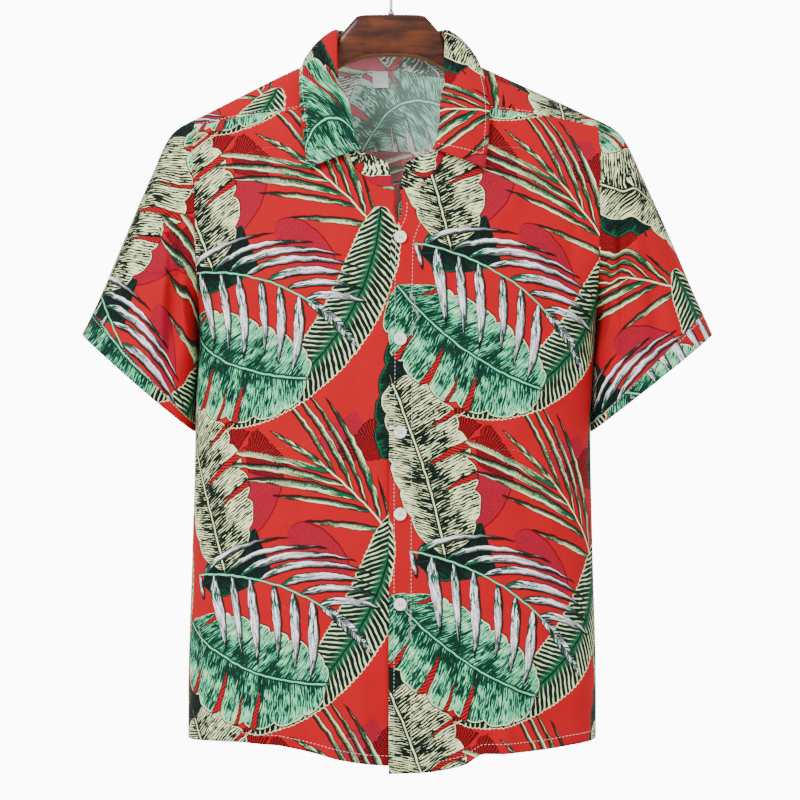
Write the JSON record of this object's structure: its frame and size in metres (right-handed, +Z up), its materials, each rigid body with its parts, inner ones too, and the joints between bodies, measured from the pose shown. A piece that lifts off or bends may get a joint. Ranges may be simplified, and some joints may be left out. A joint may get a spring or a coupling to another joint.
{
  "type": "hawaiian shirt on hanger",
  "caption": "Short-sleeved hawaiian shirt with a bold tropical-leaf print on red cloth, buttoned and hanging open at the neck, hem and cuffs on its wooden hanger.",
  "frame": {"origin": "inside top of the hanger's hook, where the rail's top touches the wire", "axes": "+Z up, -Y out of the shirt's front, +X towards the side of the wearer's left arm (the viewer's right)"},
  "size_m": [0.63, 0.1792, 0.8133],
  "materials": {
    "shirt_cloth": "matt printed cotton",
    "button_pearl": "pearly",
    "label_cloth": "woven, blank",
    "hanger_wood": "varnished",
    "hook_steel": "polished"
  },
  "bodies": {
    "root": {"back": "shirt_cloth", "collar_leaf": "shirt_cloth", "collar_stand": "shirt_cloth", "front_left": "shirt_cloth", "front_right": "shirt_cloth", "sleeve_band_left": "shirt_cloth", "sleeve_band_right": "shirt_cloth", "sleeve_left": "shirt_cloth", "sleeve_right": "shirt_cloth", "yoke": "shirt_cloth", "button_1": "button_pearl", "button_2": "button_pearl", "button_3": "button_pearl", "button_4": "button_pearl", "button_5": "button_pearl", "neck_label": "label_cloth", "hanger": "hanger_wood", "hanger_hook": "hook_steel", "hook_ferrule": "hook_steel"}
  },
  "joints": []
}
